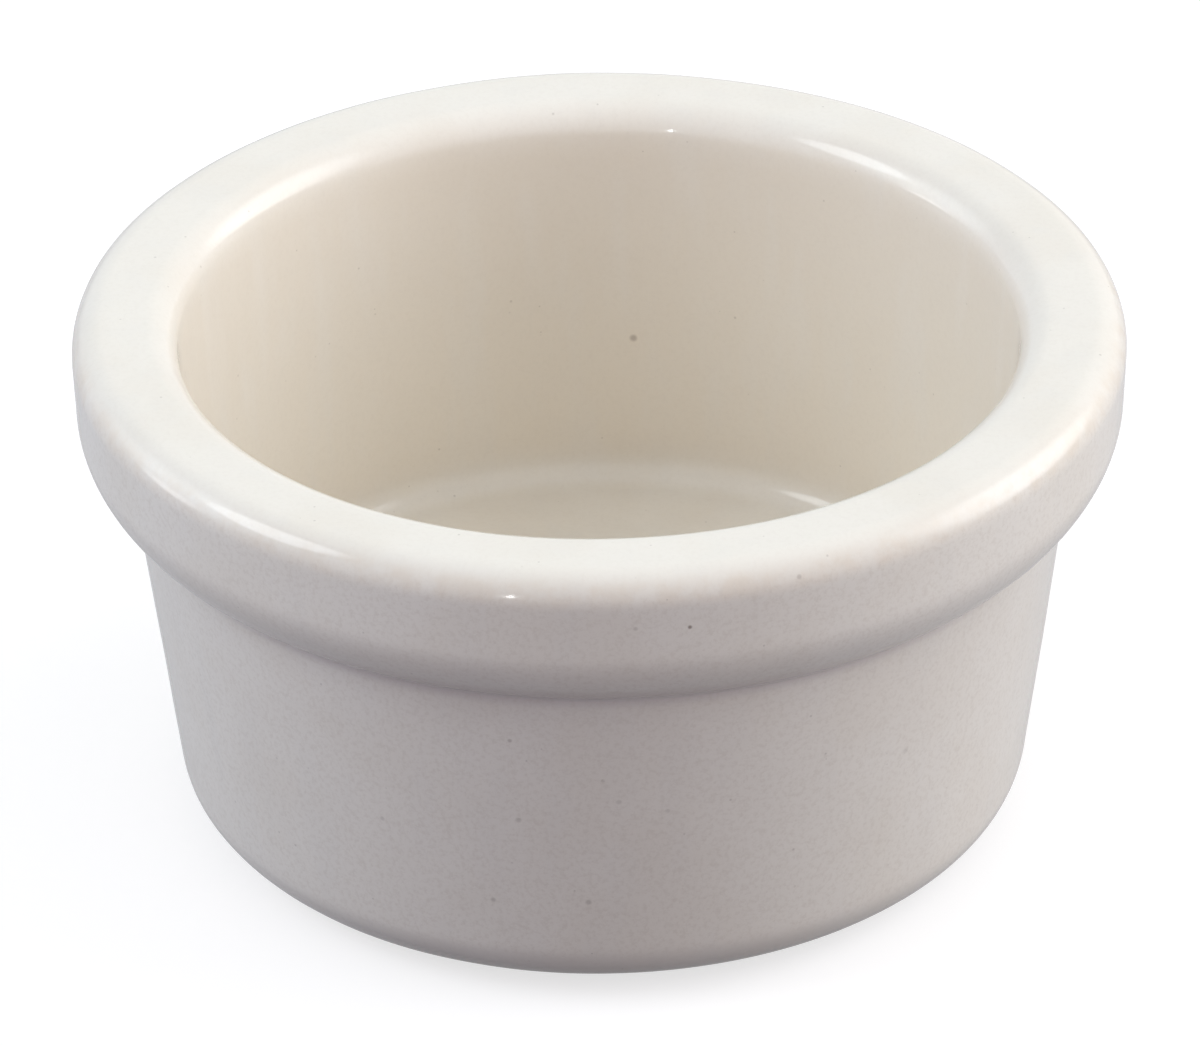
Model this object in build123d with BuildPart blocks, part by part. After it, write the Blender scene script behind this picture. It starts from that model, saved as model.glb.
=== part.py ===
from build123d import *
import os

# A round stoneware ramekin with a thick band round its rim. It is one clay body, fired
# with a coat of glaze over the inside, the rim, the band and the outside wall. The foot
# ring is left dry, so the recess inside the ring carries a glazed panel of its own.
# The origin is the middle of the plane that the foot stands on, and +Z points up out of
# the mouth. Sizes are in millimetres and are those of the finished, glazed ramekin.

# The whole ramekin, its width given at the rim's outer corner before rounding, so the
# finished rim is about a quarter of a millimetre narrower
rim_diameter = 88.9
overall_height = 46.0
glaze_thickness = 0.4

# The band round the rim. It stands out past the crease at its foot, where its lower
# corner, before rounding, lies a share of that overhang above the crease.
band_height = 13.8
band_overhang = 4.75
band_taper = 0.5
band_corner_share = 0.46
band_rounding_share = 1.47
rim_outer_rounding = 2.7
crease_rounding = 0.8

# The rim's top and the inside
rim_width = 8.85
lip_rounding = 2.7
inside_draft = 2.2
floor_height = 10.6
floor_rounding = 2.5

# The outside wall below the crease
wall_draft = 4.2
base_rounding = 5.6

# The dry foot ring, and the bare margin between it and the edge of the coat
foot_margin = 0.9
foot_width = 3.5
foot_step = 0.7
foot_rounding = 0.5
dry_margin = 0.6

# The recess inside the foot ring, and how far above the foot's plane its glaze stops
recess_depth = 3.0
recess_rounding = 1.5
recess_dry_height = 0.9

rim_radius = rim_diameter / 2
crease_height = overall_height - band_height
crease_radius = rim_radius - band_overhang
mouth_radius = rim_radius - rim_width
floor_radius = mouth_radius - inside_draft
base_radius = crease_radius - wall_draft
foot_radius = base_radius - base_rounding - foot_margin
foot_inner_radius = foot_radius - foot_width
recess_radius = foot_inner_radius - glaze_thickness
coat_edge_radius = foot_radius + dry_margin
clay_edge_height = foot_step + glaze_thickness

# The glazed surface as half a section: from the coat's edge out and up the wall, over
# the band and the rim, and down the inside to the middle of the floor
coat_corners = [
    (coat_edge_radius, foot_step),
    (base_radius, foot_step),
    (crease_radius, crease_height),
    (rim_radius - band_taper, crease_height + band_corner_share * band_overhang),
    (rim_radius, overall_height),
    (mouth_radius, overall_height),
    (floor_radius, floor_height),
    (0, floor_height),
]
coat_roundings = [
    base_rounding,
    crease_rounding,
    band_rounding_share * band_overhang,
    rim_outer_rounding,
    lip_rounding,
    floor_rounding,
]

# The glazed surface of the recess, from its middle out and down its side
panel_corners = [
    (0, recess_depth),
    (recess_radius, recess_depth),
    (recess_radius, recess_dry_height),
]
panel_roundings = [recess_rounding]


def set_back(corners, roundings, distance):
    """The corners and roundings of the line that runs a distance to the left of another."""
    points = [Vector(*corner) for corner in corners]
    left = [Vector(a.Y - b.Y, b.X - a.X).normalized() for a, b in zip(points, points[1:])]
    moved = [points[0] + left[0] * distance]
    radii = []
    for point, before, after, radius in zip(points[1:], left, left[1:], roundings):
        moved.append(point + (before + after) * (distance / (1 + before.dot(after))))
        turns_left = before.cross(after).Z > 0
        radii.append(radius - distance if turns_left else radius + distance)
    moved.append(points[-1] + left[-1] * distance)
    return moved, radii


# The clay under the glaze lies to the left of both surfaces
clay_corners, clay_roundings = set_back(coat_corners, coat_roundings, glaze_thickness)
ceiling_corners, ceiling_roundings = set_back(panel_corners, panel_roundings, glaze_thickness)

# Clay body: the surfaces under the glaze, joined by the dry foot ring
with BuildPart() as clay_body:
    with BuildSketch(Plane.XZ):
        with BuildLine():
            FilletPolyline(*clay_corners, radius=clay_roundings)
            FilletPolyline(*ceiling_corners, radius=ceiling_roundings)
            FilletPolyline(
                (foot_inner_radius, recess_dry_height),
                (foot_inner_radius, 0),
                (foot_radius, 0),
                (foot_radius, clay_edge_height),
                (coat_edge_radius, clay_edge_height),
                radius=(foot_rounding, foot_rounding, 0),
            )
            Line(ceiling_corners[0], clay_corners[-1])
        make_face()
    revolve(axis=Axis.Z)
clay_body.part.label = "clay_body"

# Glaze coat: what lies between the finished surface and the clay
with BuildPart() as glaze_coat:
    with BuildSketch(Plane.XZ):
        with BuildLine():
            FilletPolyline(*coat_corners, radius=coat_roundings)
            FilletPolyline(*clay_corners, radius=clay_roundings)
            Line(coat_corners[0], clay_corners[0])
            Line(coat_corners[-1], clay_corners[-1])
        make_face()
    revolve(axis=Axis.Z)
glaze_coat.part.label = "glaze_coat"

# Underside glaze: the panel in the recess, cut off from the coat by the dry foot
with BuildPart() as underside_glaze:
    with BuildSketch(Plane.XZ):
        with BuildLine():
            FilletPolyline(*panel_corners, radius=panel_roundings)
            FilletPolyline(*ceiling_corners, radius=ceiling_roundings)
            Line(panel_corners[0], ceiling_corners[0])
            Line(panel_corners[-1], ceiling_corners[-1])
        make_face()
    revolve(axis=Axis.Z)
underside_glaze.part.label = "underside_glaze"

os.makedirs("parts", exist_ok=True)
export_step(clay_body.part, "parts/clay_body.step")
export_step(glaze_coat.part, "parts/glaze_coat.step")
export_step(underside_glaze.part, "parts/underside_glaze.step")
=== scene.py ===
import math
import bmesh
import bpy
from mathutils import Matrix, Quaternion, Vector


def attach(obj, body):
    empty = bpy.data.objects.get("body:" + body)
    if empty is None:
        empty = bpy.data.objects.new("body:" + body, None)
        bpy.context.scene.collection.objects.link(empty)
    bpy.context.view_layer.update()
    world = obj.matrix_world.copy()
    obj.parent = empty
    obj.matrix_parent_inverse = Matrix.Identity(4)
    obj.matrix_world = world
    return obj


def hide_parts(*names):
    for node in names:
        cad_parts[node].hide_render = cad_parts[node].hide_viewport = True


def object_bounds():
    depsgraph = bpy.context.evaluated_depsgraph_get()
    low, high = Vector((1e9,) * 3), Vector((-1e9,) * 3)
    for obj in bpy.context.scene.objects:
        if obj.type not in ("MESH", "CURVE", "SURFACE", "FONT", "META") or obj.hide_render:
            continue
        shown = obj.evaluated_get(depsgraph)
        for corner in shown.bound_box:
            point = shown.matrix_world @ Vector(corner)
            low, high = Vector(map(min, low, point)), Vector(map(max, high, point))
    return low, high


# A glazed stoneware ramekin. The clay keeps its CAD mesh. The coat of glaze and the glazed
# panel under the foot are turned here as closed skins a fraction of a millimetre thick,
# with the slight unevenness of a poured and fired glaze. Sizes are in millimetres and
# angles in degrees, unless a note says otherwise.

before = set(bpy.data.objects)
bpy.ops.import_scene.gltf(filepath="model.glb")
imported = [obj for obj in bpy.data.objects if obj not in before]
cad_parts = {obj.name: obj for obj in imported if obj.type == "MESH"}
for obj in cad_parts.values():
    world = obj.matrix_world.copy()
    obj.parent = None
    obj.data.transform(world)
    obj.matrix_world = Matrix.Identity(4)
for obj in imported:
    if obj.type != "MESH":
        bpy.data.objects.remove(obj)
cadLow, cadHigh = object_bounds()
mm = 0.001
pickGap = 0.004      # how near a point has to be to count as being at a place
weldGap = 0.001
print("stage: frame loaded")


# Turning: an outline is drawn in the XZ plane from its pole, then swept about Z

def startOutline(name, place):
    # one point, from a plane merged to its middle
    bpy.ops.object.select_all(action="DESELECT")
    bpy.ops.mesh.primitive_plane_add(size=mm, location=(0, 0, 0))
    piece = bpy.context.object
    piece.name = name
    piece.data.name = name
    bpy.ops.object.mode_set(mode="EDIT")
    bpy.ops.mesh.select_mode(type="VERT")
    bpy.ops.mesh.select_all(action="SELECT")
    bpy.ops.mesh.merge(type="CENTER")
    bpy.ops.mesh.select_all(action="SELECT")
    bpy.ops.transform.translate(value=(place[0] * mm, 0, place[1] * mm))
    return piece


def selectPoints(piece, test):
    bpy.ops.mesh.select_all(action="DESELECT")
    section = bmesh.from_edit_mesh(piece.data)
    for point in section.verts:
        point.select_set(test(point.co))
    section.select_flush(True)
    bmesh.update_edit_mesh(piece.data)


def near(place):
    return lambda co: (co - Vector((place[0], 0, place[1])) * mm).length < pickGap * mm


def extrudeOutline(piece, corners):
    # from the first corner, which is there already, to each of the others
    selectPoints(piece, near(corners[0]))
    for here, there in zip(corners, corners[1:]):
        step = ((there[0] - here[0]) * mm, 0, (there[1] - here[1]) * mm)
        bpy.ops.mesh.extrude_region_move(TRANSFORM_OT_translate={"value": step})


def roundCorners(piece, corners, roundings, cuts):
    # cuts are the segments of any rounding, and how many more for each mm of its radius
    fewest, more = cuts
    for before, corner, after, rounding in zip(corners, corners[1:], corners[2:], roundings):
        inward = Vector(corner) - Vector(before)
        outward = Vector(after) - Vector(corner)
        setBack = rounding * math.tan(inward.angle(outward) / 2)
        selectPoints(piece, near(corner))
        bpy.ops.mesh.bevel(offset_type="ABSOLUTE", offset=setBack * mm, affect="VERTICES",
                           segments=fewest + round(more * rounding), profile=0.5)


def divideLongEdges(piece, longest):
    while True:
        bpy.ops.mesh.select_all(action="DESELECT")
        section = bmesh.from_edit_mesh(piece.data)
        tooLong = [edge for edge in section.edges if edge.calc_length() > longest * mm]
        for edge in tooLong:
            edge.select_set(True)
        bmesh.update_edit_mesh(piece.data)
        if not tooLong:
            return
        bpy.ops.mesh.subdivide(number_cuts=1)


def setBackOutline(corners, roundings, distance):
    # the same outline moved to its right, with the roundings that keep the gap even
    points = [Vector(corner) for corner in corners]
    sides = []
    for here, there in zip(points, points[1:]):
        along = (there - here).normalized()
        sides.append(Vector((along.y, -along.x)))
    moved = [points[0] + sides[0] * distance]
    radii = []
    for point, before, after, rounding in zip(points[1:], sides, sides[1:], roundings):
        moved.append(point + (before + after) * (distance / (1 + before.dot(after))))
        turnsRight = before.x * after.y - before.y * after.x < 0
        radii.append(rounding - distance if turnsRight else rounding + distance)
    moved.append(points[-1] + sides[-1] * distance)
    return [tuple(point) for point in moved], radii


def turnOutline(piece, steps):
    bpy.ops.object.mode_set(mode="OBJECT")
    turn = piece.modifiers.new("turn", "SCREW")
    turn.axis = "Z"
    turn.angle = 2 * math.pi
    turn.steps = steps
    turn.render_steps = steps
    turn.use_merge_vertices = True
    turn.merge_threshold = weldGap * mm
    bpy.ops.object.modifier_apply(modifier=turn.name)
    bpy.ops.object.mode_set(mode="EDIT")
    bpy.ops.mesh.select_all(action="SELECT")
    bpy.ops.mesh.remove_doubles(threshold=weldGap * mm)
    bpy.ops.mesh.normals_make_consistent(inside=False)
    bpy.ops.object.mode_set(mode="OBJECT")
    bpy.ops.object.shade_smooth()


def markPoints(piece, name, test):
    # a vertex group of the points that the test picks
    bpy.ops.object.mode_set(mode="EDIT")
    selectPoints(piece, test)
    bpy.ops.object.vertex_group_assign_new()
    piece.vertex_groups.active.name = name
    bpy.ops.object.mode_set(mode="OBJECT")


def waveSurface(piece, name, size, depth, strength, group=""):
    # real unevenness in the mesh, from a cloud in the object's own coordinates
    cloud = bpy.data.textures.new(name, "CLOUDS")
    cloud.noise_scale = size * mm
    cloud.noise_depth = depth
    wave = piece.modifiers.new(name, "DISPLACE")
    wave.texture = cloud
    wave.texture_coords = "LOCAL"
    wave.strength = strength * mm
    wave.mid_level = 0.5
    wave.vertex_group = group
    bpy.ops.object.modifier_apply(modifier=wave.name)


def waveSkin(piece, shape):
    # waves all over, and stronger ones along the edge
    for wave in shape["waves"]:
        waveSurface(piece, *wave)
    radius, height = shape["edgeZone"]
    markPoints(piece, "edge", lambda co: co.z < height * mm and co.xy.length < radius * mm)
    waveSurface(piece, *shape["edgeWave"], "edge")


def makeSkin(name, corners, shape, side):
    # the face that shows, then its back on that side, 1 for the right and -1 for the left
    piece = startOutline(name, corners[0])
    extrudeOutline(piece, corners)
    roundCorners(piece, corners, shape["roundings"], shape["faceCuts"])
    divideLongEdges(piece, shape["rowSpacing"])
    back, backRoundings = setBackOutline(corners, shape["roundings"], side * shape["thickness"])
    returnCorners = [corners[-1]] + back[::-1]
    extrudeOutline(piece, returnCorners)
    roundCorners(piece, returnCorners[1:], backRoundings[::-1], shape["backCuts"])
    if shape["edgeBead"]:
        bead = [corners[-2], corners[-1], back[-1], back[-2]]
        roundCorners(piece, bead, [shape["edgeBead"]] * 2, shape["beadCuts"])
    turnOutline(piece, shape["turnSteps"])
    waveSkin(piece, shape)
    return piece


def seatPiece(piece, node, material):
    piece.data.materials.clear()
    piece.data.materials.append(material)
    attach(piece, "root")
    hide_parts(node)


class Graph:
    # a tree of shader nodes, with short ways to add the usual ones
    def __init__(self, owner, outputKind, sourceKind, coords):
        owner.use_nodes = True
        self.owner = owner
        self.tree = owner.node_tree
        self.tree.nodes.clear()
        self.output = self.add(outputKind)
        self.coords = self.add(sourceKind).outputs[coords]

    def add(self, kind, settings=None, inputs=None):
        node = self.tree.nodes.new(kind)
        for name, value in (settings or {}).items():
            setattr(node, name, value)
        for name, value in (inputs or {}).items():
            if isinstance(value, bpy.types.NodeSocket):
                self.tree.links.new(value, node.inputs[name])
            else:
                node.inputs[name].default_value = value
        return node

    def math(self, operation, first, second):
        inputs = {0: first, 1: second}
        return self.add("ShaderNodeMath", {"operation": operation}, inputs).outputs[0]

    def times(self, first, second):
        return self.math("MULTIPLY", first, second)

    def vector(self, operation, first, second):
        inputs = {0: first, 1: second}
        return self.add("ShaderNodeVectorMath", {"operation": operation}, inputs)

    def distance(self, place):
        # how far a point is from a place, which is given in mm
        away = self.vector("DISTANCE", self.coords, [part * mm for part in place])
        return away.outputs["Value"]

    def radiusAndHeight(self):
        flat = self.vector("MULTIPLY", self.coords, (1, 1, 0))
        length = self.add("ShaderNodeVectorMath", {"operation": "LENGTH"}, {0: flat.outputs[0]})
        height = self.add("ShaderNodeSeparateXYZ", inputs={0: self.coords})
        return length.outputs["Value"], height.outputs[2]

    def ramp(self, value, low, high, toLow=0.0, toHigh=1.0):
        return self.add("ShaderNodeMapRange", {"interpolation_type": "SMOOTHSTEP"}, {
            "Value": value, "From Min": low, "From Max": high, "To Min": toLow, "To Max": toHigh,
        }).outputs[0]

    def rise(self, value, start, end, top=1.0):
        return self.ramp(value, start * mm, end * mm, 0.0, top)

    def fall(self, value, start, end, top=1.0):
        return self.ramp(value, start * mm, end * mm, top, 0.0)

    def band(self, value, start, full, fading, gone):
        return self.times(self.rise(value, start, full), self.fall(value, fading, gone))

    def noise(self, size, detail, roughness, stretch=(1, 1, 1)):
        # a cloud whose lumps are about size mm across, along each axis times stretch
        scale = [1 / (size * mm * part) for part in stretch]
        moved = self.add("ShaderNodeMapping", inputs={"Vector": self.coords, "Scale": scale})
        cloud = self.add("ShaderNodeTexNoise", {"noise_dimensions": "3D"}, {
            "Vector": moved.outputs[0], "Scale": 1.0, "Detail": detail, "Roughness": roughness,
        })
        return cloud.outputs[0]

    def patches(self, cloud, toLow=0.0, toHigh=1.0, stretch=(1, 1, 1)):
        size, detail, roughness, low, high = cloud
        return self.ramp(self.noise(size, detail, roughness, stretch), low, high, toLow, toHigh)

    def blend(self, share, first, second):
        inputs = {0: share}
        for socket, value in ((6, first), (7, second)):
            linked = isinstance(value, bpy.types.NodeSocket)
            inputs[socket] = value if linked else (*value, 1)
        return self.add("ShaderNodeMix", {"data_type": "RGBA"}, inputs).outputs[2]

    def bump(self, height, depth, below=None):
        inputs = {"Height": height, "Distance": depth * mm, "Strength": 1.0}
        if below is not None:
            inputs["Normal"] = below
        return self.add("ShaderNodeBump", inputs=inputs).outputs[0]

    def specks(self, cell, share, size, softness):
        # dots of 0.6 to 1 times size mm across, one in each of a share of the cells
        dots = self.add("ShaderNodeTexVoronoi", {"feature": "F1"}, {
            "Vector": self.coords, "Scale": 1 / (cell * mm), "Randomness": 1.0,
        })
        chance = self.add("ShaderNodeSeparateColor", inputs={0: dots.outputs["Color"]})
        chosen = self.math("LESS_THAN", chance.outputs[0], share)
        reach = self.ramp(chance.outputs[1], 0.0, 1.0, 0.3 * size / cell, 0.5 * size / cell)
        inner = self.times(reach, 1 - softness)
        dot = self.ramp(dots.outputs["Distance"], inner, reach, 1.0, 0.0)
        return self.times(dot, chosen)

    def spot(self, place, size, strength):
        # one soft dot, size mm across, at a place on the surface
        return self.fall(self.distance(place), 0.15 * size, 0.5 * size, strength)

    def seen(self, glossShare):
        # 1 for the rays that see the background, and a share of it for the gloss
        path = self.add("ShaderNodeLightPath").outputs
        gloss = self.times(path["Is Glossy Ray"], glossShare)
        direct = self.math("MAXIMUM", path["Is Camera Ray"], gloss)
        return self.math("MAXIMUM", direct, path["Is Transmission Ray"])

    def finish(self, shader):
        self.tree.links.new(shader.outputs[0], self.output.inputs["Surface"])
        return self.owner


def startMaterial(name):
    material = bpy.data.materials.new(name)
    return Graph(material, "ShaderNodeOutputMaterial", "ShaderNodeTexCoord", "Object")


# In both looks a cloud is the size of its lumps, its detail and roughness, and the two
# values between which it fades in. A fade is where it starts and ends, and a band is where
# it starts, is full, starts to fade and is gone. Specks are the size of their cells, the
# share of the cells that have one, the size of the largest, and how much of it is soft.

glazeLook = {
    "colour": (0.84, 0.786, 0.704),
    "cloudColour": (0.82, 0.76, 0.672),
    "clouds": (11, 3, 0.5, 0.38, 0.64),
    "insideCreamAndShadeColour": (0.815, 0.742, 0.635),    # a creamier inside coat, partly painted warm shade, and painted shade that darkens it towards the rim
    "insideTopShadeColour": (0.76, 0.69, 0.592),   # which is thinner towards the rim
    "insideCreamAndShadeShare": 0.85,
    "insideRadii": (35.7, 37.2),
    "insideHeights": (11, 15, 41, 45),
    "insideTopShadeHeights": (14, 41),
    "runColour": (0.80, 0.755, 0.685),
    "runShare": 0.35,
    "runs": (3.4, 2, 0.5, 0.45, 0.75),
    "runStretch": (1, 1, 5),
    "thinColour": (0.74, 0.62, 0.49),         # over the rim's outer rounding
    "thinShare": 0.42,
    "thinLeast": 0.2,
    "thinPatches": (2.2, 4, 0.6, 0.36, 0.68),
    "thinRadii": (41.6, 43.2),
    "thinHeights": (43.0, 44.1, 44.9, 45.8),
    "creaseShadeColour": (0.66, 0.59, 0.57),         # painted shade in the crease
    "creaseShadeShare": 0.55,
    "creaseShadeRadii": (38.6, 39.5),
    "creaseShadeHeights": (30.8, 32.0, 32.8, 34.8),
    "grainColour": (0.62, 0.54, 0.45),
    "grainShare": (0.09, 0.30),               # on the rim and inside, and on the outside
    "grain": (0.45, 3, 0.7, 0.42, 0.72),
    "grainRadii": (35.7, 36.3),
    "grainHeights": (43.4, 45.2),
    "speckColour": (0.20, 0.14, 0.10),
    "fineSpecks": (1.3, 0.16, 0.34, 0.7),
    "fineShare": 0.26,
    "boldSpecks": (6.5, 0.15, 0.46, 0.5),
    "boldShare": 0.36,
    "shine": (7, 3, 0.5, 0.3, 0.7),
    "roughness": (0.055, 0.10),
    "refraction": 1.5,
    "peel": (1.5, 1, 0.5),
    "peelDepth": 0.004,
    "pitDepth": 0.012,
    "spots": [                                # place, size, strength
        ((3.0, 34.0, 24.1), 0.95, 0.45),
        ((7.1, -43.7, 41.3), 0.50, 0.75),
        ((25.0, -28.7, 20.1), 0.9, 0.14),
        ((-7.7, -38.3, 27.4), 0.55, 0.32),
        ((-0.1, -38.5, 23.6), 0.50, 0.20),
        ((1.2, -38.2, 21.3), 0.70, 0.20),
        ((5.2, -37.7, 20.1), 0.60, 0.18),
        ((-7.1, -37.3, 19.1), 0.70, 0.26),
        ((-1.4, -36.8, 10.7), 0.75, 0.30),
        ((-9.3, -35.6, 10.3), 0.65, 0.28),
        ((-18.4, -32.8, 16.6), 0.60, 0.22),
        ((16.0, -41.1, 44.4), 0.60, 0.28),
        ((2.7, -44.2, 41.5), 0.55, 0.20),
    ],
}


def glazeTones(graph, look, radius, height):
    # clouds all over, a creamier inside wall with painted shade, and faint runs down every wall
    colour = graph.blend(graph.patches(look["clouds"]), look["colour"], look["cloudColour"])
    inside = graph.times(graph.fall(radius, *look["insideRadii"]),
                         graph.band(height, *look["insideHeights"]))
    creamAndShade = graph.blend(graph.rise(height, *look["insideTopShadeHeights"]), look["insideCreamAndShadeColour"],
                        look["insideTopShadeColour"])
    colour = graph.blend(graph.times(inside, look["insideCreamAndShadeShare"]), colour, creamAndShade)
    runs = graph.patches(look["runs"], toHigh=look["runShare"], stretch=look["runStretch"])
    return graph.blend(runs, colour, look["runColour"])


def glazeEdgesAndCreaseShade(graph, look, colour, radius, height):
    # thin and warm where it drew back from the rim's outer rounding
    outer = graph.rise(radius, *look["thinRadii"])
    edge = graph.times(graph.band(height, *look["thinHeights"]), outer)
    patchy = graph.patches(look["thinPatches"], toLow=look["thinLeast"])
    thin = graph.times(graph.times(edge, patchy), look["thinShare"])
    colour = graph.blend(thin, colour, look["thinColour"])
    # painted shade: darker and greyer in the crease under the band
    outside = graph.rise(radius, *look["creaseShadeRadii"])
    crease = graph.times(graph.band(height, *look["creaseShadeHeights"]), outside)
    return graph.blend(graph.times(crease, look["creaseShadeShare"]), colour, look["creaseShadeColour"])


def glazeGrain(graph, look, colour, radius, height):
    # fine grain, which shows most on the outside
    shown = graph.times(graph.rise(radius, *look["grainRadii"]),
                        graph.fall(height, *look["grainHeights"]))
    share = graph.ramp(shown, 0.0, 1.0, *look["grainShare"])
    grain = graph.times(graph.patches(look["grain"]), share)
    return graph.blend(grain, colour, look["grainColour"])


def glazeSpecks(graph, look, colour, bold):
    # iron specks scattered all over, and the ones that are seen one by one
    fine = graph.specks(*look["fineSpecks"])
    marks = graph.math("MAXIMUM", graph.times(fine, look["fineShare"]),
                       graph.times(bold, look["boldShare"]))
    for place, size, strength in look["spots"]:
        marks = graph.math("MAXIMUM", marks, graph.spot(place, size, strength))
    return graph.blend(marks, colour, look["speckColour"])


def makeGlaze(name, look):
    graph = startMaterial(name)
    radius, height = graph.radiusAndHeight()
    colour = glazeTones(graph, look, radius, height)
    # the thin warm edge of the rim, and painted shade in the crease
    colour = glazeEdgesAndCreaseShade(graph, look, colour, radius, height)
    colour = glazeGrain(graph, look, colour, radius, height)
    bold = graph.specks(*look["boldSpecks"])
    colour = glazeSpecks(graph, look, colour, bold)
    peel = graph.bump(graph.noise(*look["peel"]), look["peelDepth"])
    pits = graph.bump(graph.math("SUBTRACT", 1.0, bold), look["pitDepth"], peel)
    skin = graph.add("ShaderNodeBsdfPrincipled", inputs={
        "Base Color": colour,
        "Roughness": graph.patches(look["shine"], *look["roughness"]),
        "IOR": look["refraction"],
        "Normal": pits,
    })
    return graph.finish(skin)


clayLook = {
    "colour": (0.56, 0.46, 0.35),
    "cloudColour": (0.50, 0.41, 0.31),
    "clouds": (5, 4, 0.5, 0.35, 0.65),
    "grogColour": (0.68, 0.60, 0.50),
    "grog": (0.9, 0.45, 0.75, 0.5),
    "grogShare": 0.55,
    "grogDepth": 0.05,
    "ironColour": (0.17, 0.11, 0.07),
    "iron": (1.7, 0.30, 0.42, 0.4),
    "ironShare": 0.7,
    "flashColour": (0.43, 0.27, 0.15),    # burnt beside the edge of the glaze
    "flashShare": 0.6,
    "outerFlashRadii": (28.7, 29.4),
    "innerFlashRadii": (25.2, 25.7),
    "flashWander": 0.35,
    "flashClouds": (1.8, 3, 0.5, 0.25, 0.75),
    "wornColour": (0.40, 0.36, 0.31),     # rubbed on the flat of the foot
    "wornShare": (0.1, 0.5),
    "wornPatches": (2.6, 3, 0.5, 0.4, 0.7),
    "wornHeights": (0.02, 0.10),
    "tooth": (0.25, 3, 0.65),
    "toothDepth": 0.03,
    "dullness": (1.2, 3, 0.5, 0.3, 0.7),
    "roughness": (0.78, 0.92),
    "refraction": 1.5,
}


def burntShare(graph, look, radius):
    # beside both edges of the dry foot, along a ragged line
    wander = look["flashWander"] * mm
    reach = graph.math("ADD", radius, graph.patches(look["flashClouds"], -wander, wander))
    outer = graph.rise(reach, *look["outerFlashRadii"], look["flashShare"])
    inner = graph.fall(reach, *look["innerFlashRadii"], look["flashShare"])
    return graph.math("MAXIMUM", outer, inner)


def makeClay(name, look):
    graph = startMaterial(name)
    radius, height = graph.radiusAndHeight()
    colour = graph.blend(graph.patches(look["clouds"]), look["colour"], look["cloudColour"])
    grog = graph.specks(*look["grog"])
    colour = graph.blend(graph.times(grog, look["grogShare"]), colour, look["grogColour"])
    iron = graph.specks(*look["iron"])
    colour = graph.blend(graph.times(iron, look["ironShare"]), colour, look["ironColour"])
    colour = graph.blend(burntShare(graph, look, radius), colour, look["flashColour"])
    worn = graph.times(graph.fall(height, *look["wornHeights"]),
                       graph.patches(look["wornPatches"], *look["wornShare"]))
    colour = graph.blend(worn, colour, look["wornColour"])
    tooth = graph.bump(graph.noise(*look["tooth"]), look["toothDepth"])
    skin = graph.add("ShaderNodeBsdfPrincipled", inputs={
        "Base Color": colour,
        "Roughness": graph.patches(look["dullness"], *look["roughness"]),
        "IOR": look["refraction"],
        "Normal": graph.bump(grog, look["grogDepth"], tooth),
    })
    return graph.finish(skin)


glaze = makeGlaze("white_glaze", glazeLook)
bareClay = makeClay("bare_stoneware", clayLook)
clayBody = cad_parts["clay_body"]
clayBody.data.materials.clear()
clayBody.data.materials.append(bareClay)
print("stage: materials made")


# The coat: from the middle of the floor up the inside, over the rim and the band, and
# down the outside wall to its edge beside the dry foot, then back along the clay

coatShape = {
    "height": cadHigh[2] / mm,
    "rimRadius": 44.45,          # out to the rim's corner, before it is rounded
    "rimWidth": 8.85,
    "insideDraft": 2.2,          # how much narrower the inside is at its floor
    "floorHeight": 10.6,
    "bandHeight": 13.8,
    "bandTaper": 0.5,
    "bandOverhang": 4.75,        # past the crease
    "bandCornerShare": 0.46,     # of the overhang, from the crease up to the band's corner
    "wallDraft": 4.2,
    "edgeRadius": 29.6,
    "edgeHeight": 0.7,
    "roundings": [2.5, 2.7, 2.7, 6.98, 0.8, 5.6],  # floor, lip, rim, band, crease, base
    "thickness": 0.45,           # a little into the clay, which starts 0.4 mm down
    "edgeBead": 0.2,
    "faceCuts": (8, 2.2),
    "backCuts": (6, 0),
    "beadCuts": (4, 0),
    "rowSpacing": 0.9,
    "turnSteps": 272,
    "waves": [                   # name, size of the lumps, detail, height
        ("slow_wave", 16, 1, 0.12),
        ("quick_wave", 4.5, 1, 0.014),
    ],
    "edgeWave": ("edge_wave", 2.6, 1, 0.34),
    "edgeZone": (29.9, 1.2),     # radius and height within which the edge's points lie
}


def makeCoat(shape):
    mouthRadius = shape["rimRadius"] - shape["rimWidth"]
    creaseRadius = shape["rimRadius"] - shape["bandOverhang"]
    creaseHeight = shape["height"] - shape["bandHeight"]
    corners = [
        (0.0, shape["floorHeight"]),
        (mouthRadius - shape["insideDraft"], shape["floorHeight"]),
        (mouthRadius, shape["height"]),
        (shape["rimRadius"], shape["height"]),
        (shape["rimRadius"] - shape["bandTaper"],
         creaseHeight + shape["bandCornerShare"] * shape["bandOverhang"]),
        (creaseRadius, creaseHeight),
        (creaseRadius - shape["wallDraft"], shape["edgeHeight"]),
        (shape["edgeRadius"], shape["edgeHeight"]),
    ]
    return makeSkin("glaze_skin", corners, shape, 1)


coat = makeCoat(coatShape)
seatPiece(coat, "glaze_coat", glaze)
print("stage: glaze coat turned,", len(coat.data.polygons), "faces")


# The panel: from the middle of the recess out to its wall, and down to its edge

panelShape = {
    "radius": 25.1,
    "depth": 3.0,
    "edgeHeight": 0.9,
    "roundings": [1.5],
    "thickness": 0.45,
    "edgeBead": 0,
    "faceCuts": (10, 0),
    "backCuts": (6, 0),
    "rowSpacing": 1.2,
    "turnSteps": 256,
    "waves": [("panel_wave", 9, 1, 0.08)],
    "edgeWave": ("panel_edge_wave", 2.4, 1, 0.30),
    "edgeZone": (26, 1.15),
}


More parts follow.
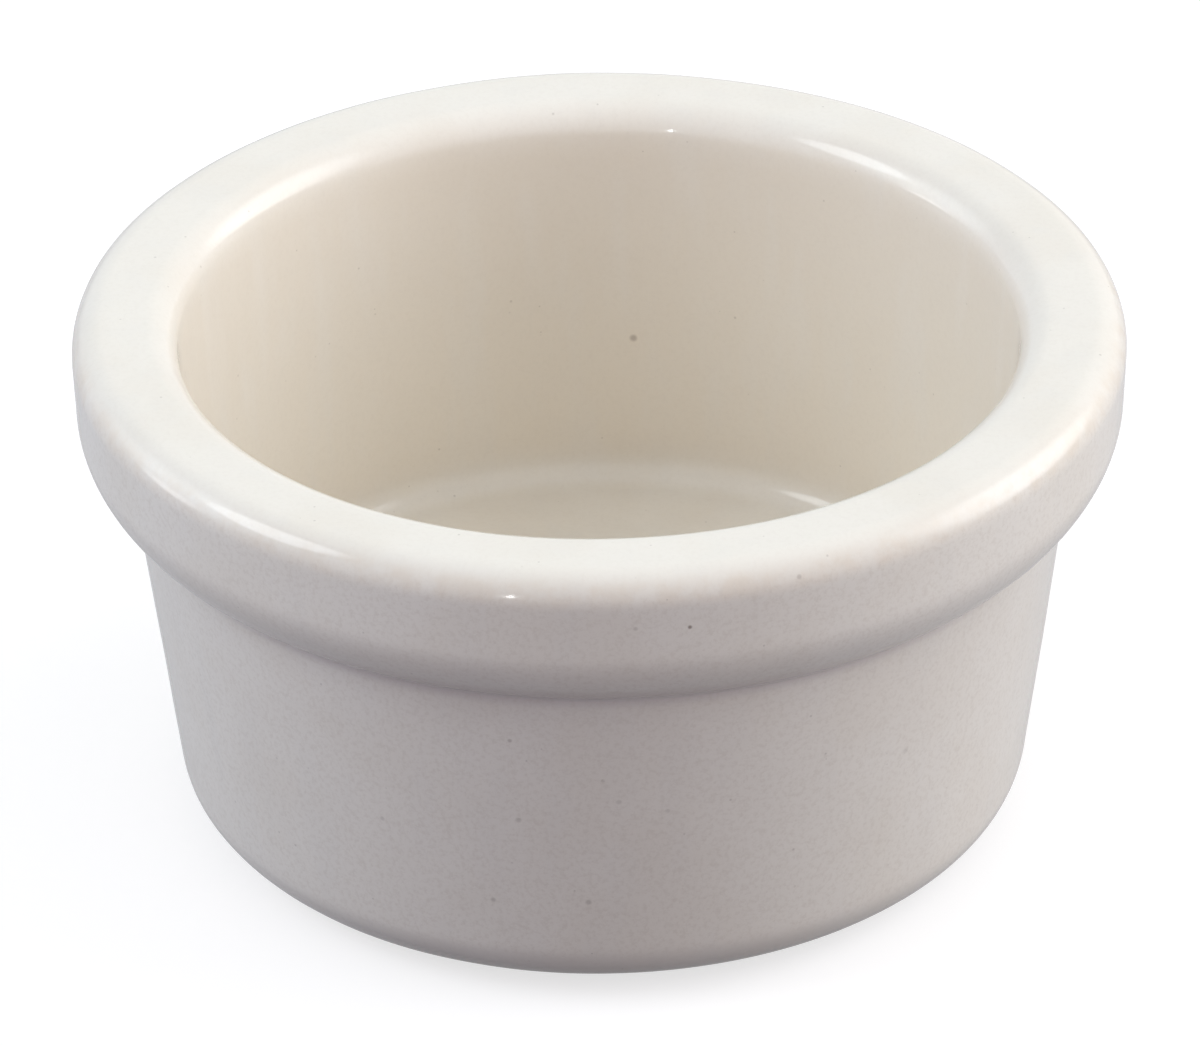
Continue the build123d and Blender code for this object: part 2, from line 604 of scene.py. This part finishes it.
def makePanel(shape):
    corners = [(0.0, shape["depth"]), (shape["radius"], shape["depth"]),
               (shape["radius"], shape["edgeHeight"])]
    return makeSkin("underside_skin", corners, shape, -1)


panel = makePanel(panelShape)
seatPiece(panel, "underside_glaze", glaze)
print("stage: underside turned,", len(panel.data.polygons), "faces")


# The floor: white to the camera, less so in the gloss, and plainer as a source of the
# light that the ramekin gets from below, with a painted shadow close in front in that light

floorSetup = {
    "size": 1.7,                      # metres
    "drop": 0.02,                     # below the foot, so that the two don't flicker
    "bounceColour": (0.18, 0.17, 0.19),
    "frontShadowColour": (0.11, 0.105, 0.12),   # painted shadow close in front, so the table there gives back less light
    "frontShadowPlace": (0, -75, 0),
    "frontShadowReach": (30, 85),
    "seenGlow": 0.68,                 # what the eye sees: a glow, and a part that takes shadow
    "seenColour": (0.40, 0.385, 0.38),
    "glossShare": 0.5,
}


def addFloor(setup):
    bpy.ops.object.select_all(action="DESELECT")
    bpy.ops.mesh.primitive_plane_add(size=setup["size"], location=(0, 0, -setup["drop"] * mm))
    floor = bpy.context.object
    floor.name = "floor"
    graph = startMaterial("floor_paper")
    # painted shadow on the floor in front, only in the light that it gives back
    frontShadow = graph.fall(graph.distance(setup["frontShadowPlace"]), *setup["frontShadowReach"])
    given = graph.blend(frontShadow, setup["bounceColour"], setup["frontShadowColour"])
    bounce = graph.add("ShaderNodeBsdfDiffuse", inputs={"Color": given})
    shaded = graph.add("ShaderNodeBsdfDiffuse", inputs={"Color": (*setup["seenColour"], 1)})
    glow = graph.add("ShaderNodeEmission", inputs={"Strength": setup["seenGlow"]})
    white = graph.add("ShaderNodeAddShader", inputs={0: shaded.outputs[0], 1: glow.outputs[0]})
    both = graph.add("ShaderNodeMixShader", inputs={
        0: graph.seen(setup["glossShare"]), 1: bounce.outputs[0], 2: white.outputs[0],
    })
    floor.data.materials.append(graph.finish(both))


addFloor(floorSetup)

# The room's own soft light, as diffuse rays meet it: an even part, and a part that comes
# mostly from each side. The camera and the gloss see plain white in its place.

room = {
    "even": (0.0, 0.0, 0.01),
    "sides": [
        ((0, 0, 1), (0.20, 0.34, 0.30)),
        ((1, 0, 0), (0.71, 0.70, 0.82)),
        ((-1, 0, 0), (0.0, 0.0, 0.24)),
        ((0, -0.707, 0.707), (0.54, 0.43, 0.42)),
        ((0, 1, 0), (0.25, 0.20, 0.16)),
    ],
    "glossShare": 1.0,
}


def addRoom(setup):
    world = bpy.data.worlds.new("studio")
    bpy.context.scene.world = world
    graph = Graph(world, "ShaderNodeOutputWorld", "ShaderNodeTexCoord", "Generated")
    total = graph.add("ShaderNodeBackground", inputs={"Color": (*setup["even"], 1)})
    for side, colour in setup["sides"]:
        facing = graph.vector("DOT_PRODUCT", graph.coords, side)
        part = graph.add("ShaderNodeBackground", inputs={
            "Color": (*colour, 1),
            "Strength": graph.math("MAXIMUM", facing.outputs["Value"], 0.0),
        })
        total = graph.add("ShaderNodeAddShader", inputs={0: total.outputs[0], 1: part.outputs[0]})
    white = graph.add("ShaderNodeBackground", inputs={"Color": (1, 1, 1, 1)})
    both = graph.add("ShaderNodeMixShader", inputs={
        0: graph.seen(setup["glossShare"]), 1: total.outputs[0], 2: white.outputs[0],
    })
    graph.finish(both)


addRoom(room)

# The softboxes: how far each is turned right from the camera's side and risen above the
# table, its half width and half height as angles, how it is rolled, the share of it that
# is fully bright before it fades to its edge, and how bright and what colour that is

lampAway = 0.9            # metres from the place that all of them face
lampAim = (0, 0, 0.03)
lamps = {
    "rightBox": {"turn": 97, "rise": 24, "reach": (33, 34), "roll": 0, "core": 0.3,
                 "brightness": 3.55, "colour": (0.94, 0.97, 1)},
    "leftBox": {"turn": -81, "rise": 38, "reach": (17, 17), "roll": 25, "core": 0.65,
                "brightness": 3.3, "colour": (0.89, 0.95, 1)},
    "leftGlow": {"turn": -96, "rise": 27, "reach": (36, 30), "roll": 0, "core": 0.15,
                 "brightness": 2.4, "colour": (0.86, 0.975, 1)},
    "leftLow": {"turn": -97, "rise": 5, "reach": (12, 10), "roll": 0, "core": 0.2,
                "brightness": 2.4, "colour": (1, 1, 1)},
    "strip": {"turn": -18.7, "rise": 11, "reach": (0.9, 8), "roll": 0, "core": 0.6,
              "brightness": 20, "colour": (1, 1, 1)},
}


def fadeLamp(lamp, core):
    # the lamp's face is fully bright in the middle and fades out before its edge
    graph = Graph(lamp, "ShaderNodeOutputLight", "ShaderNodeNewGeometry", "Parametric")
    face = graph.vector("MULTIPLY", graph.coords, (1, 1, 0))
    away = graph.vector("DISTANCE", face.outputs[0], (0.5, 0.5, 0))
    fade = graph.ramp(away.outputs["Value"], 0.5 * core, 0.5, 1.0, 0.0)
    graph.finish(graph.add("ShaderNodeEmission", inputs={"Strength": fade}))


def addLamp(name, setup):
    turn = math.radians(setup["turn"])
    rise = math.radians(setup["rise"])
    towards = Vector((math.sin(turn) * math.cos(rise), -math.cos(turn) * math.cos(rise),
                      math.sin(rise)))
    bpy.ops.object.light_add(type="AREA", location=Vector(lampAim) + towards * lampAway)
    lamp = bpy.context.object
    lamp.name = name
    width, height = [2 * lampAway * math.tan(math.radians(half)) for half in setup["reach"]]
    lamp.data.shape = "RECTANGLE"
    lamp.data.size = width
    lamp.data.size_y = height
    lamp.data.energy = setup["brightness"] * math.pi * width * height
    lamp.data.color = setup["colour"]
    roll = Quaternion((0, 0, 1), math.radians(setup["roll"]))
    lamp.rotation_euler = (towards.to_track_quat("Z", "Y") @ roll).to_euler()
    lamp.visible_camera = False
    fadeLamp(lamp.data, setup["core"])


for name, setup in lamps.items():
    addLamp(name, setup)
print("stage: floor, room and lamps set")


# Camera: the photograph's view, taken from the ellipses of the rim

cameraSetup = {
    "distance": 1.0,             # metres, from the middle of the rim
    "elevation": 29.48,
    "roll": -0.66,
    "frame": (1200, 1046),       # the photograph's size in pixels
    "focal": 11910.0,            # in its pixels
    "rimPixel": (598.7, 312.2),  # where the middle of the rim falls in it
    "sensorWidth": 36.0,
    "sight": 20.0,               # metres that it sees to
}


def addCamera(setup, rimHeight):
    width, height = setup["frame"]
    rise = math.radians(setup["elevation"])
    roll = math.radians(setup["roll"])
    away = Vector((0, -math.cos(rise), math.sin(rise)))
    place = Vector((0, 0, rimHeight)) + away * setup["distance"]
    right = Vector((1, 0, 0))
    up = Vector((0, math.sin(rise), math.cos(rise)))
    rolledRight = right * math.cos(roll) + up * math.sin(roll)
    rolledUp = up * math.cos(roll) - right * math.sin(roll)
    shiftRight = -(setup["rimPixel"][0] - width / 2) / setup["focal"]
    shiftUp = (setup["rimPixel"][1] - height / 2) / setup["focal"]
    ahead = (rolledRight * shiftRight + rolledUp * shiftUp - away).normalized()
    across = (rolledRight - ahead * rolledRight.dot(ahead)).normalized()
    upward = across.cross(ahead)
    bpy.ops.object.camera_add(location=place)
    camera = bpy.context.object
    camera.matrix_world = Matrix((
        (across.x, upward.x, -ahead.x, place.x),
        (across.y, upward.y, -ahead.y, place.y),
        (across.z, upward.z, -ahead.z, place.z),
        (0, 0, 0, 1),
    ))
    camera.data.sensor_width = setup["sensorWidth"]
    camera.data.lens = setup["focal"] / width * setup["sensorWidth"]
    camera.data.clip_end = setup["sight"]
    return camera


bpy.context.scene.camera = addCamera(cameraSetup, cadHigh[2])
bpy.context.scene.view_settings.view_transform = "Standard"
